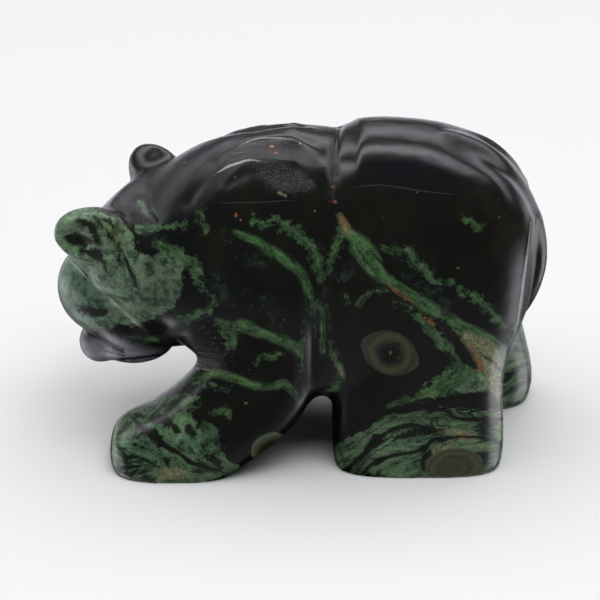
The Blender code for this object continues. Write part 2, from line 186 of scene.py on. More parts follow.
# Thin dark seams, as x, y and half width in picture pixels; those along the mouth, jaw, cheek and furrow are
# painted shade in the carved cuts
SEAMS = {
    # Painted shade in the cuts of the mouth and jaw
    "mouth": [(88, 331, 0.5), (97, 337, 0.9), (108, 343, 1.0), (123, 351, 0.8)],
    "jaw": [(104, 361, 0.4), (127, 359, 0.7), (150, 356, 0.9), (172, 353, 0.6)],
    # Painted shade in the saw cuts of the furrow
    "furrow one": [(308, 300, 0.7), (309, 330, 1.3), (308, 360, 1.4), (307, 398, 1.4)],
    "furrow two": [(317, 312, 0.7), (318, 336, 1.2), (316, 366, 1.4), (315, 400, 1.2)],
    "furrow three": [(327, 316, 0.8), (328, 336, 1.3), (326, 364, 1.2), (323, 392, 0.8)],
    "furrow four": [(313, 340, 0.6), (312, 366, 1.2), (311, 398, 1.2)],
    "foot main": [(133, 418, 0.8), (144, 429, 1.4), (156, 438, 1.4), (168, 448, 1.8), (180, 454, 1.4),
        (190, 462, 1.8), (203, 466, 1.8), (219, 471, 1.2)],
    "foot side": [(115, 451, 0.7), (125, 457, 1.2), (138, 457, 0.9), (151, 463, 1)],
    "foot band": [(108, 467, 1.2), (124, 468, 1.4), (139, 466, 0.8)],
    "foot top": [(156, 395, 1.4), (170, 394, 1.6), (178, 390, 1), (197, 389, 1.2)],
    "hind one": [(334, 438, 2.6), (352, 431, 2.2), (369, 422, 2.2), (382, 414, 2.4), (398, 410, 2.4),
        (418, 407, 2), (439, 404, 2.6), (456, 402, 3.6), (472, 401, 6), (488, 401, 6.5), (494, 404, 4)],
    "hind two": [(397, 413, 1), (421, 409, 1), (445, 410, 1.2), (456, 418, 1), (473, 420, 1.4),
        (502, 419, 1)],
    "hind three": [(343, 472, 1.6), (357, 461, 1.8), (366, 451, 2), (374, 441, 2), (387, 433, 1.4),
        (397, 428, 1.2), (411, 425, 1), (425, 427, 0.8)],
    "hind four": [(362, 474, 0.9), (374, 463, 1.2), (385, 458, 1.3), (399, 454, 1.1), (413, 452, 1.1),
        (423, 449, 1.3), (433, 440, 1.4), (447, 438, 1), (465, 437, 0.7), (484, 438, 1.2),
        (501, 443, 1.5)],
    # Painted shade in the cut on the cheek
    "cheek": [(125, 258, 0.7), (131, 272, 1.2), (137, 286, 0.9)],
    "beside vein": [(376, 257, 0.6), (390, 271, 0.9), (404, 282, 0.9), (418, 292, 0.5)],
    "haunch crack": [(484, 356, 0.4), (494, 363, 0.6), (502, 372, 0.6)],
    "far leg one": [(508, 352, 1.2), (514, 349, 1.6), (528, 352, 1)],
    "far leg two": [(504, 380, 1), (514, 372, 1.8), (522, 366, 1.4), (534, 362, 0.8)],
    "far leg three": [(503, 396, 1), (514, 388, 1.6), (526, 382, 1.2)],
}
SCRATCHES = {
    "shoulder": [(224, 203, 0.4), (245, 202.5, 0.5), (266, 202, 0.5), (290, 200, 0.3)],
    "haunch": [(356, 187, 0.3), (378, 185, 0.5), (398, 187, 0.5), (422, 191, 0.5), (450, 194, 0.3)],
}

# Pale lines along edges, partly wear and partly painted highlight
EDGE_WEAR_AND_PAINTED_HIGHLIGHTS = {
    "shoulder low": [(219, 172, 0.4), (227, 167, 1.0), (238, 163, 1.0), (249, 160, 0.8), (259, 161, 0.3)],
    "shoulder top": [(240, 145, 0.2), (250, 141, 0.4), (262, 138, 0.4), (282, 138, 0.4)],
    "cheek": [(64, 255, 0.3), (78, 269, 0.5), (92, 283, 0.4), (102, 293, 0.2)],
    "haunch rear": [(531, 222, 0.2), (527, 255, 0.5), (522, 290, 0.8), (517, 325, 0.6), (510, 345, 0.3)],
}

# Parts of the green darkened as painted shade, on the cheek, by the ear, on the feet and at the leg's end,
# with a deeper tone on the cream patch, and dim green mist in the black
PAINTED_SHADE_AND_DEEPER_TONE = {
    "cheek": [(152, 262, 13), (162, 284, 19), (148, 304, 14)],
    "ear": [(94, 222, 6), (106, 230, 8), (116, 242, 8), (120, 254, 5)],
    "hind foot": [(412, 416, 7), (430, 414, 9), (452, 412, 6)],
    "front foot": [(172, 406, 9), (192, 408, 8)],
    "leg end": [(270, 387, 5), (292, 390, 6)],
    "cream patch": [(466, 221, 6), (477, 228, 6)],
}
MISTS = {
    "throat": [(212, 274, 6), (222, 286, 12), (236, 300, 14), (252, 312, 9)],
    "chest": [(262, 300, 6), (272, 318, 9), (284, 330, 8)],
    "shoulder": [(228, 238, 8), (244, 252, 9), (262, 262, 7)],
    "haunch": [(408, 272, 8), (426, 290, 10), (446, 304, 9)],
    "far knee": [(330, 292, 8), (340, 278, 8), (352, 270, 6)],
}

# Yellowish and bluish parts, and the lilac grey of the muzzle, which is a painted reflection of the pale
# table
WARM = {
    "ear": [(98, 214, 6), (108, 224, 8), (118, 238, 8), (122, 248, 5)],
    "foot top": [(170, 401, 4), (184, 400, 5), (194, 399, 4)],
    "sole": [(118, 482, 4), (150, 480, 5), (184, 477, 5)],
    "leg": [(214, 374, 4), (240, 381, 4)],
    "cream patch": [(466, 221, 6), (477, 228, 6)],
}
COOL = {
    "face": [(62, 262, 12), (70, 290, 24), (92, 306, 22), (104, 316, 12)],
    "cheek edge": [(184, 262, 6), (204, 290, 14), (192, 316, 10)],
    "foot": [(128, 450, 12), (160, 446, 12), (208, 440, 12)],
    "throat": [(222, 290, 12), (236, 300, 12), (250, 312, 8)],
}
PAINTED_REFLECTIONS = {
    "muzzle": [(84, 350, 10), (98, 349, 13), (114, 350, 13), (130, 353, 9), (148, 356, 7), (164, 353, 3)],
}

# Worn or roughly cut places, where the lilac-grey dust laid on is partly painted sheen
WORN = {
    "shoulder hollow": [(256, 160, 8), (272, 171, 14), (290, 180, 14), (306, 186, 9)],
    "upper shoulder": [(262, 148, 5), (290, 150, 6), (312, 160, 6)],
    "crease": [(332, 146, 3), (333, 168, 5), (332, 200, 4)],
    "ear root": [(118, 205, 3), (138, 212, 5), (144, 228, 4)],
}

# Rough cuts that never took a polish
ROUGH = {
    "throat": [(196, 330, 7), (202, 342, 9), (211, 360, 10), (220, 372, 6)],
    "jaw": [(164, 338, 4), (176, 331, 5), (186, 326, 5)],
    "ear root": [(134, 214, 5), (146, 226, 8)],
    "ear hollow": [(72, 238, 9), (84, 238, 9)],
    "furrow rim": [(299, 326, 5), (300, 366, 6), (297, 394, 5)],
}

# Places with a duller polish
MATT = {
    "face": [(66, 280, 26), (90, 290, 34), (130, 285, 30), (160, 285, 24)],
    "ear": [(70, 222, 20), (100, 228, 20), (118, 240, 14)],
    "muzzle": [(84, 348, 14), (120, 346, 16), (170, 346, 14)],
    "neck": [(128, 192, 14), (160, 190, 26), (200, 185, 30), (240, 165, 24), (290, 165, 24)],
    "haunch rear": [(508, 225, 14), (506, 280, 20), (502, 335, 16)],
    "hind foot": [(350, 450, 26), (400, 440, 34), (450, 440, 36), (490, 440, 20)],
}

# Small specks, as x, y and radius in picture pixels
ORANGE_SPECKS = [(272, 145, 3.0), (276, 152, 2.2), (300, 143, 1.2)]
RUST_SPECKS = [(236, 215, 2.4), (241, 220, 1.6), (335, 202, 2.0), (333, 186, 1.6)]
PALE_SPECKS = [(185, 162, 2.0), (173, 168, 1.8), (314, 158, 1.8), (315, 211, 1.4), (280, 193, 2.8),
               (285, 195, 2.4), (458, 268, 1.5), (246, 403, 1.6), (227, 414, 2.4), (204, 232, 1.6)]

# Bands that are smoothed more than the rest, where the solid's cuts meet the body, and their edge in pixels
SOFTENED = {
    "shoulder line": [(180, 210, 9), (192, 200, 10), (208, 182, 11), (228, 158, 12), (262, 142, 12),
        (312, 142, 12)],
    "hollow": [(268, 180, 14), (300, 176, 14)],
    "crease": [(332, 136, 9), (334, 160, 10)],
    "haunch front": [(348, 162, 6), (347, 190, 6)],
    "rump": [(452, 142, 10), (476, 150, 15), (500, 164, 15), (520, 188, 11), (532, 210, 7)],
}
SOFTENED_HEAD = {
    "ear root": [(126, 200, 10), (138, 214, 13), (148, 234, 12)],
    "ear": [(70, 230, 6), (86, 236, 6)],
    "far ear": [(146, 158, 14), (156, 162, 14)],
}
SOFTENED_EDGE = 3
SOFTENING_ROUNDS = 80
CREASE_SIDES = {
    "haunch roll": [(345, 118, 5), (345, 146, 5), (344, 176, 5)],
    "body end": [(311, 132, 10), (314, 150, 12), (318, 172, 10)],
}
CREASE_EDGE = 9
CREASE_ROUNDS = 300

# The crease behind the shoulders, and how the haunch rolls down to it: reach in pixels, depth in millimetres
CREASE = [(341, 122), (338, 136), (336, 148), (334, 166), (334, 176)]
ROLL_REACH = 20
ROLL_DEPTH = 0.18

# Carved lines, as picture points, half width in pixels and height in millimetres (negative is a cut)
BODY_LINES = [
    (CREASE, 3.0, -0.16),
    ([(187, 203), (200, 191), (212, 178), (222, 165), (229, 156)], 5.0, -0.12),
    ([(221, 158), (235, 147), (248, 141), (262, 138), (282, 137), (300, 141), (316, 149)], 5.0, 0.12),
    ([(238, 157), (252, 150), (268, 147), (286, 148), (302, 154)], 5.0, -0.12),
    ([(200, 198), (210, 184), (220, 171), (230, 165), (240, 161), (250, 159), (261, 160)], 5.5, 0.15),
    ([(228, 184), (242, 176), (256, 171)], 6.0, -0.10),
    ([(533, 217), (525, 270), (519, 320), (508, 350), (502, 378), (500, 440)], 2.2, 0.10),
]
HEAD_LINES = [
    ([(88, 332), (105, 343), (124, 353)], 2.6, -0.20),
    ([(98, 338), (112, 349), (120, 357)], 2.0, 0.08),
    ([(104, 247), (113, 255), (122, 265), (131, 276), (138, 287)], 2.6, -0.08),
    ([(66, 257), (80, 271), (92, 283), (104, 294), (116, 306)], 3.0, 0.06),
    ([(58, 240), (64, 230), (75, 222), (90, 223), (99, 232)], 2.8, 0.12),
    ([(104, 205), (122, 216), (132, 226), (138, 240)], 3.2, -0.12),
    ([(106, 361), (127, 360), (148, 357), (164, 355)], 2.2, -0.10),
]

# Crisp cuts, as x, y and half width in picture pixels, with those on the chest as a fan, and their depth
CHEST_CUTS = 9
CHEST_FAN = {f"chest {i}": [(197, 324 + 5.5 * i, 0.1), (209, 323 + 6 * i, 1.2), (224, 320 + 6.6 * i, 0.1)]
             for i in range(CHEST_CUTS)}
CRISP_CUTS = CHEST_FAN | {
    "crease": [(341, 122, 1.4), (338, 136, 1.8), (336, 148, 1.8), (334, 166, 1.4), (333, 184, 0.8)],
    "mouth": [(86, 330, 1), (97, 337, 1.6), (108, 343, 1.6), (124, 352, 1.2)],
    "jaw": [(104, 361, 1), (127, 359, 1.4), (150, 356, 1.5), (172, 353, 1)],
    "cheek": [(125, 258, 1), (131, 272, 1.4), (137, 286, 1)],
}
CUT_DEPTH = 0.065

# The hollow of the near ear, as x, y and radius in pixels and height in millimetres
CARVED_SPOTS = [(76, 238, 10, -0.22)]

# Saw marks in the furrow and on the chest, their half width in pixels and their depth in millimetres
SAW_MARKS = [[(x, 322), (x + 1, 345), (x - 1, 370), (x - 2, 398)] for x in range(299, 330, 4)]
CHEST_MARKS = [[(197, 326 + 5 * i), (212, 324 + 5.6 * i), (228, 321 + 6 * i)] for i in range(CHEST_CUTS)]
MARK_HALF_WIDTH = 1.5
MARK_DEPTH = 0.04

# The eye-shaped orb on the haunch: its middle, half length and half height in pixels, and its slope
EYE_ORB = (390, 353)
EYE_HALF_LENGTH = 32
EYE_HALF_HEIGHT = 22
EYE_SLOPE = math.radians(23)

# Round orbs where the photograph shows them, as x, y and radius in pixels, and how much they are pressed flat
FOOT_ORB = (455, 467, 29, 1.45)
LEG_ORB = (268, 446, 19, 1.0)

# Round orbs on the sides that the photograph does not show, as a place and a radius in millimetres
HIDDEN_ORBS = [((9.5, 12.4, 15.5), 3.1), ((-9.0, 11.6, 18.0), 2.4), ((17.5, 9.0, 7.0), 2.2),
               ((-2.0, 10.5, 24.5), 2.0), ((20.5, 8.5, 21.0), 2.5), ((-14.5, 7.5, 9.0), 2.0)]

# How far the fields reach from a band, a thin line and a vein, and the distance of all beyond, in pixels
BAND_REACH = 14.0
LINE_REACH = 12.0
FLOW_REACH = 24.0
FAR_AWAY = 1e3

# The depth that a field takes on the sides that the photograph does not show, in millimetres
UNSEEN = -1.4

# Fields that hold a depth inside bands, and fields that hold the nearest line
BAND_FIELDS = {"vein": VEINS, "broken": BROKEN_VEINS, "tan": TANS, "rust": RUSTS, "dark": DARKS, "warm": WARM,
               "cool": COOL, "grey": PAINTED_REFLECTIONS, "painted_shade_and_tone": PAINTED_SHADE_AND_DEEPER_TONE, "mist": MISTS, "worn": WORN, "rough": ROUGH,
               "matt": MATT}
LINE_FIELDS = {"seam": SEAMS, "scratch": SCRATCHES, "pale": EDGE_WEAR_AND_PAINTED_HIGHLIGHTS, "cut": CRISP_CUTS}

# The cosine between a point's normal and its sight line: hidden below the first, in full view above the last
TURNED_AWAY = -0.05
TURNED_TO = 0.12

# How far above the surface a sight line starts, and its length, in metres
SIGHT_LIFT = 0.0002
SIGHT_LENGTH = 0.1

# The stone's colours, linear
BLACK = (0.0062, 0.0066, 0.0052)
BLUE_BLACK = (0.0045, 0.0055, 0.0075)
UMBER = (0.0105, 0.0105, 0.0065)
DARK_GREEN = (0.018, 0.032, 0.018)
MID_GREEN = (0.060, 0.115, 0.055)
GREEN = (0.095, 0.175, 0.082)
PALE_GREEN = (0.155, 0.245, 0.135)
MIST_GREEN = (0.026, 0.041, 0.029)
VEIN_DARK = (0.010, 0.018, 0.011)
VEIN_MID = (0.031, 0.068, 0.028)
VEIN_GREEN = (0.058, 0.126, 0.048)
VEIN_PALE = (0.110, 0.200, 0.088)
FACE_DARK = (0.046, 0.078, 0.048)
FACE_GREEN = (0.118, 0.198, 0.112)
FACE_PALE = (0.185, 0.285, 0.165)
GREY_GREEN = (0.080, 0.120, 0.095)
OLIVE = (0.105, 0.115, 0.055)
TAN = (0.330, 0.300, 0.165)
RUST = (0.20, 0.075, 0.028)
ORANGE = (0.45, 0.14, 0.03)
# Lilac grey for scratches, and for the dust in worn places, which is partly painted sheen
LILAC_GREY = (0.130, 0.128, 0.145)
# Pale for lines along edges: partly wear, partly painted highlight
PAINTED_HIGHLIGHT_AND_WEAR = (0.46, 0.46, 0.48)
# Lilac grey of the muzzle: a painted reflection of the pale table
MUZZLE_PAINTED_REFLECTION = (0.315, 0.305, 0.365)

# Tones of the greens, from dark to light, each at a level of its noise
SMOOTH_TONES = [(0.34, DARK_GREEN), (0.43, FACE_DARK), (0.52, FACE_GREEN), (0.66, FACE_PALE)]
LAYER_TONES = [(0.40, BLACK), (0.45, DARK_GREEN), (0.50, MID_GREEN), (0.58, GREEN), (0.68, PALE_GREEN)]
VEIN_TONES = [(0.38, VEIN_DARK), (0.455, VEIN_MID), (0.54, VEIN_GREEN), (0.66, VEIN_PALE)]

# Tints that multiply the stone's colour in a field's bands, as the depths where each begins and is full
TINTS = {
    # The first darkens with painted shade, and to a deeper tone on the cream patch
    "painted_shade_and_tone": (-0.6, 0.7, (0.64, 0.62, 0.63)),
    "warm": (-0.5, 0.6, (1.15, 1.05, 0.86)),
    "cool": (-0.6, 0.8, (0.95, 1.0, 1.14)),
}

# Rings of the orbs, each at a share of the radius
HIDDEN_RINGS = [(0.0, UMBER), (0.34, UMBER), (0.52, (0.032, 0.035, 0.018)), (0.70, (0.054, 0.060, 0.032)),
                (0.86, (0.034, 0.040, 0.024)), (1.0, (0.046, 0.052, 0.034))]
FOOT_RINGS = [(0.0, (0.050, 0.050, 0.026)), (0.40, (0.056, 0.058, 0.030)), (0.55, (0.040, 0.042, 0.022)),
              (0.72, (0.074, 0.080, 0.040)), (0.88, (0.045, 0.052, 0.028)), (1.0, (0.085, 0.105, 0.052))]
LEG_RINGS = [(0.0, (0.060, 0.030, 0.014)), (0.22, UMBER), (0.45, (0.030, 0.032, 0.016)),
             (0.72, (0.050, 0.056, 0.028)), (0.86, (0.090, 0.120, 0.060)), (1.0, DARK_GREEN)]
EYE_RINGS = [(0.0, BLACK), (0.20, BLACK), (0.32, (0.016, 0.017, 0.010)), (0.42, (0.038, 0.040, 0.020)),
             (0.53, (0.058, 0.062, 0.032)), (0.63, (0.030, 0.034, 0.021)), (0.76, (0.036, 0.041, 0.028)),
             (0.94, (0.050, 0.056, 0.040)), (1.0, (0.040, 0.046, 0.030))]

# The radius of the eye's rings and of its dot, and the spacing of the fine rings in every orb, in millimetres
EYE_RING_RADIUS = 3.6
EYE_DOT_RADIUS = 0.21
RING_SPACING = 0.24

# How strongly the fine rings and the grain show, the tone's level under them, and how uneven the rings run
RING_CONTRAST = 0.26
RING_GRAIN = 1.5
RING_LEVEL = 0.25
RING_WOBBLE = 0.28

# Noise textures, as scale per millimetre, detail, roughness, distortion and, for some, a shift
NOISES = {
    "rag": (0.95, 6, 0.68, 0),
    "fray": (3.6, 4, 0.65, 0, (5, 1, 9)),
    "grain": (4.2, 3, 0.6, 0),
    "brown clouds": (0.30, 5, 0.6, 0),
    "blue clouds": (0.16, 3, 0.5, 0, (4, 8, 2)),
    "mist": (0.85, 7, 0.76, 0.15, (5, 5, 5)),
    "mottle": (0.80, 7, 0.74, 0.3),
    "blots": (1.2, 5, 0.7, 0.6, (7, 3, 1)),
    "hidden patches": (0.11, 3, 0.5, 0.7, (2, 7, 5)),
    "layers": (1.0, 7, 0.74, 0.35),
    "hidden feet": (0.16, 3, 0.5, 0),
    "streaks": (1.0, 5, 0.62, 0.3),
    "flecks": (2.1, 6, 0.72, 0.4, (1, 1, 6)),
    "vein clouds": (0.35, 2, 0.5, 0, (3, 9, 4)),
    "vein swell": (0.21, 2, 0.5, 0, (9, 2, 6)),
    "vein breaks": (1.5, 3, 0.6, 0, (4, 4, 7)),
    "crisp bend": (0.075, 2, 0.45, 0.9, (3, 1, 7)),
    "broken bend": (0.095, 2, 0.45, 0.9, (8, 5, 2)),
    "tan grain": (3.2, 4, 0.7, 0),
    "ring wobble": (0.9, 4, 0.6, 0),
    "ring grain": (6.5, 3, 0.7, 0),
    "eye edge": (3.0, 3, 0.6, 0),
    "eye surround": (1.2, 3, 0.6, 0),
    "spot edge": (3.2, 3, 0.6, 0),
    "muzzle breaks": (0.7, 5, 0.65, 0.8, (8, 1, 1)),
    "dust": (5.0, 4, 0.75, 0, (6, 6, 1)),
    "polish": (0.7, 4, 0.6, 0, (1, 5, 2)),
    "grit": (6.5, 5, 0.75, 0, (2, 2, 8)),
}

# About how high the layered green of the hidden feet reaches, in millimetres
LAYERED_HEIGHT = 5.2

# The polish: its least roughness, how much it varies, and what worn, matt and rough places add
POLISH = 0.11
POLISH_RANGE = 0.14
WORN_DULLNESS = 0.20
MATT_DULLNESS = 0.16
ROUGH_DULLNESS = 0.42

# The height of the surface's grit, in millimetres
GRIT_HEIGHT = 0.024

# The table, and a black card below the body, a painted shadow on the floor which only reflections show
TABLE_RADIUS = 3.0
TABLE_COLOUR = (0.86, 0.86, 0.875, 1)
TABLE_PLACE = (0, 0, -0.00002)
SHADED_FLOOR_RADII = (0.023, 0.013)
SHADED_FLOOR_COLOUR = (0.01, 0.01, 0.01, 1)
SHADED_FLOOR_PLACE = (-0.001, 0, -0.00001)

# The light tent, as azimuth from and to (from +Y towards +X), elevation from and to, softness and level
GLOWS = {
    "skyline": (-90, 62, -22, 1, 6, 0.85),
    "low strip": (-85, 64, 23.5, 29.5, 4, 3.5),
    "high strip": (-72, 58, 54, 61, 5, 7.4),
    "right side": (66, 114, -38, -6, 6, 3.1),
    "right front": (98, 120, -36, -8, 8, 0.8),
    "left side": (-104, -50, -34, 2, 6, 1.5),
    "left below": (-100, -58, -60, -40, 6, 2.2),
    "table in front": (-180, 180, -90, -24, 6, 0.16),
}
AZIMUTH_SOFTNESS = 1.5
TENT_COLOUR = (0.94, 0.93, 1.0, 1)
AMBIENT = 0.06
DIFFUSE_SHARE = 0.13

# Soft lights, as place, the point they face, size, and power in watts
LIGHTS = {
    "front_fill": ((0.12, -0.27, 0.62), (0, 0, 0.01), (0.4, 0.3), 1.05),
    "top_fill": ((0.0, 0.06, 0.50), (0, 0.06, 0), (1.1, 0.9), 4.95),
}


def view_axes():
    """The photograph's right, up and backward directions."""
    right = np.array((1.0, 0.0, 0.0))
    up = np.array((0.0, math.sin(VIEW_TILT), math.cos(VIEW_TILT)))
    back = np.array((0.0, -math.cos(VIEW_TILT), math.sin(VIEW_TILT)))
    return right, up, back


def eye_point():
    """Where the photograph's camera stands."""
    return np.array(VIEW_TARGET) + view_axes()[2] * VIEW_DISTANCE


def picture_of(points):
    """Where the photograph shows points of the part, in its pixels."""
    right, up, back = view_axes()
    away = points - np.array(VIEW_TARGET)
    nearness = VIEW_DISTANCE / (VIEW_DISTANCE - away @ back)
    scale = PIXELS_PER_MM / MM * nearness
    middle = PICTURE_SIZE / 2
    return np.stack((middle + away @ right * scale, middle - away @ up * scale), axis=1)


def ray_through(x, y):
    """The photograph's eye point and the direction of its ray through a pixel."""
    right, up, _ = view_axes()
    middle = PICTURE_SIZE / 2
    aim = np.array(VIEW_TARGET) + (right * (x - middle) + up * (middle - y)) * MM / PIXELS_PER_MM
    return Vector(eye_point()), Vector(aim - eye_point()).normalized()


def smooth_steps(value, low, high):
    t = np.clip((value - low) / (high - low), 0, 1)
    return t * t * (3 - 2 * t)


def rounded_line(points, pieces=6):
    """A smooth line through a few points, each a row of numbers."""
    p = np.array(points, float)
    if len(p) < 3:
        return p
    ends = np.vstack((2 * p[0] - p[1], p, 2 * p[-1] - p[-2]))
    rows = []
    for i in range(len(p) - 1):
        a, b, c, d = ends[i:i + 4]
        for t in np.linspace(0, 1, pieces, endpoint=False):
            rows.append(0.5 * (2 * b + (c - a) * t + (2 * a - 5 * b + 4 * c - d) * t ** 2
                               + (3 * b - a - 3 * c + d) * t ** 3))
    rows.append(p[-1])
    return np.array(rows)


def along(line, where, reach):
    """For points in the picture: distance to a line, side of it, its half width there, the way along it."""
    rows = rounded_line(line)
    found = np.tile((FAR_AWAY, FAR_AWAY, 0.0, 0.0), (len(where), 1))
    low = rows[:, :2].min(0) - reach
    high = rows[:, :2].max(0) + reach
    near = np.nonzero(((where > low) & (where < high)).all(1))[0]
    w = where[near]
    best = found[near]
    gone = 0
    for a, b in zip(rows[:-1], rows[1:]):
        step = b[:2] - a[:2]
        length = math.hypot(*step)
        t = np.clip((w - a[:2]) @ step / length ** 2, 0, 1)
        off = w - a[:2] - t[:, None] * step
        distance = np.hypot(off[:, 0], off[:, 1])
        side = np.where(step[0] * off[:, 1] < step[1] * off[:, 0], -distance, distance)
        half = a[2] + (b[2] - a[2]) * t if len(a) > 2 else 0 * t
        row = np.stack((distance, side, half, gone + t * length), axis=1)
        closer = distance < best[:, 0]
        best[closer] = row[closer]
        gone += length
    found[near] = best
    return found.T


def nearest_line(lines, where, reach):
    """Side of, closeness to, half width of and way along the nearest of some lines, in pixels."""
    best = np.tile((FAR_AWAY, reach, 0.0, 0.0), (len(where), 1)).T
    for line in lines.values():
        found = along(line, where, reach)
        best = np.where(found[0] < best[0], found, best)
    distance, side, half, way = best
    return np.clip(side, -reach, reach), np.clip(reach - distance, -reach, reach), half, way


def band_depth(lines, where):
    """How far inside the nearest of some bands each point is, in pixels."""
    depth = np.full(len(where), -BAND_REACH)
    for line in lines.values():
        distance, _, half, _ = along(line, where, BAND_REACH + max(row[2] for row in line))
        depth = np.maximum(depth, half - distance)
    return depth


def area_depth(areas, where):
    """How far inside the nearest of some outlines each point is, in pixels."""
    depth = np.full(len(where), -BAND_REACH)
    for outline in areas.values():
        corners = rounded_line(outline + outline[:1], 4)
        distance = np.full(len(where), FAR_AWAY)
        inside = np.zeros(len(where), bool)
        for a, b in zip(corners[:-1], corners[1:]):
            step = b - a
            t = np.clip((where - a) @ step / (step @ step), 0, 1)
            off = where - a - t[:, None] * step
            distance = np.minimum(distance, np.hypot(off[:, 0], off[:, 1]))
            if a[1] == b[1]:
                continue
            spans = (a[1] > where[:, 1]) != (b[1] > where[:, 1])
            crossing = a[0] + (where[:, 1] - a[1]) * step[0] / step[1]
            inside ^= spans & (where[:, 0] < crossing)
        depth = np.maximum(depth, np.where(inside, distance, -distance))
    return depth


def eye_depth(where):
    """How far inside the eye-shaped orb each point is, in pixels: inside both of two arcs."""
    bow = (EYE_HALF_LENGTH ** 2 + EYE_HALF_HEIGHT ** 2) / (2 * EYE_HALF_HEIGHT)
    off = (bow - EYE_HALF_HEIGHT) * np.array((-math.sin(EYE_SLOPE), math.cos(EYE_SLOPE)))
    reach = [np.hypot(*(where - (np.array(EYE_ORB) + sign * off)).T) for sign in (-1, 1)]
    return np.maximum(bow - np.maximum(*reach), -LINE_REACH)


def fine_copy(node):
    """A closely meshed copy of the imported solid."""
    piece = bpy.data.objects.new("bear_stone", node.data.copy())
    bpy.context.scene.collection.objects.link(piece)
    remesh = piece.modifiers.new("remesh", "REMESH")
    remesh.mode = "VOXEL"
    remesh.voxel_size = VOXEL
    depsgraph = bpy.context.evaluated_depsgraph_get()
    fine = bpy.data.meshes.new_from_object(piece.evaluated_get(depsgraph))
    piece.modifiers.clear()
    piece.data = fine
    return piece


def read_rows(mesh, name):
    """Each vertex's place or normal, as "co" or "normal"."""
    values = np.empty(len(mesh.vertices) * 3)
    mesh.vertices.foreach_get(name, values)
    return values.reshape(-1, 3)


def write_points(mesh, points):
    mesh.vertices.foreach_set("co", points.ravel())
    mesh.update()


class Neighbours:
    """The mesh's edges, for averaging a value over each point's neighbours."""

    def __init__(self, mesh):
        edges = np.empty(len(mesh.edges) * 2, np.int32)
        mesh.edges.foreach_get("vertices", edges)
        edges = edges.reshape(-1, 2)
        self.a = np.concatenate((edges[:, 0], edges[:, 1]))
        self.b = np.concatenate((edges[:, 1], edges[:, 0]))
        self.count = len(mesh.vertices)
        self.degree = np.maximum(np.bincount(self.a, minlength=self.count), 1)

    def mean(self, values):
        if values.ndim == 1:
            return np.bincount(self.a, values[self.b], self.count) / self.degree
        columns = [self.mean(values[:, i]) for i in range(values.shape[1])]
        return np.stack(columns, axis=1)

    def smoothed(self, values, rounds):
        for _ in range(rounds):
            values = 0.5 * values + 0.5 * self.mean(values)
        return values

    def softened(self, points, weight, rounds):
        """Flattens small forms where the weight is 1."""
        for _ in range(rounds):
            points = points + 0.5 * weight[:, None] * (self.mean(points) - points)
        return points

    def relaxed(self, points, rounds):
        """Smooths a shape without shrinking it."""
        for _ in range(rounds):
            points = points + RELAX_PULL * (self.mean(points) - points)
            points = points - RELAX_PUSH * (self.mean(points) - points)
        return points


def seen_from_photo(points, normals, tree, neighbours):
    """1 where the photograph shows the stone, 0 where it is turned away or covered."""
    toward = eye_point() - points
    toward /= np.linalg.norm(toward, axis=1)[:, None]
    facing = (normals * toward).sum(1)
    seen = smooth_steps(facing, TURNED_AWAY, TURNED_TO)
    starts = points + normals * SIGHT_LIFT
    for i in np.nonzero(facing > TURNED_AWAY)[0]:
        if tree.ray_cast(Vector(starts[i]), Vector(toward[i]), SIGHT_LENGTH)[0] is not None:
            seen[i] = 0
    return neighbours.smoothed(seen, BLEND_ROUNDS)


def other_side(points):
    """The points as they would be on the other side of the body."""
    mirrored = points.copy()
    mirrored[:, 1] = 2 * VIEW_TARGET[1] - points[:, 1]
    return mirrored


def soft_weight(bands, far_bands, where, across, seen, edge):
    """1 inside the bands of either side and 0 outside, with an edge that is so many pixels soft."""
    near = smooth_steps(band_depth(bands, where), -edge, edge + 1) * seen
    far = smooth_steps(band_depth(far_bands, across), -edge, edge + 1) * (1 - seen)
    return np.maximum(near, far)


def haunch_roll(where):
    """How far the haunch sinks towards the crease, in millimetres."""
    distance, side, _, _ = along(CREASE, where, ROLL_REACH)
    closeness = 1 - np.clip(distance / ROLL_REACH, 0, 1)
    return np.where(side < 0, -ROLL_DEPTH * closeness ** 2, -ROLL_DEPTH * closeness ** 6)


def ridge(line, half, tall, where, spread=3):
    """The height of a rounded ridge or cut along a line, none beyond spread half widths."""
    distance = along(line, where, half * spread)[0]
    return tall * np.exp(-(distance / half) ** 2)


def carve(points, normals, where, across, seen):
    """Cuts and raises the shallow forms of the carving along the surface."""
    height = haunch_roll(where) * seen + haunch_roll(across) * (1 - seen)
    for line, half, tall in BODY_LINES + HEAD_LINES:
        height += ridge(line, half, tall, where) * seen
    for line, half, tall in BODY_LINES:
        height += ridge(line, half, tall, across) * (1 - seen)
    for x, y, radius, tall in CARVED_SPOTS:
        off = np.hypot(where[:, 0] - x, where[:, 1] - y) / radius
        height += tall * np.exp(-off ** 2) * seen
    for line in SAW_MARKS + CHEST_MARKS:
        height += ridge(line, MARK_HALF_WIDTH, -MARK_DEPTH, where, 4) * seen
    return points + normals * (height * MM)[:, None]


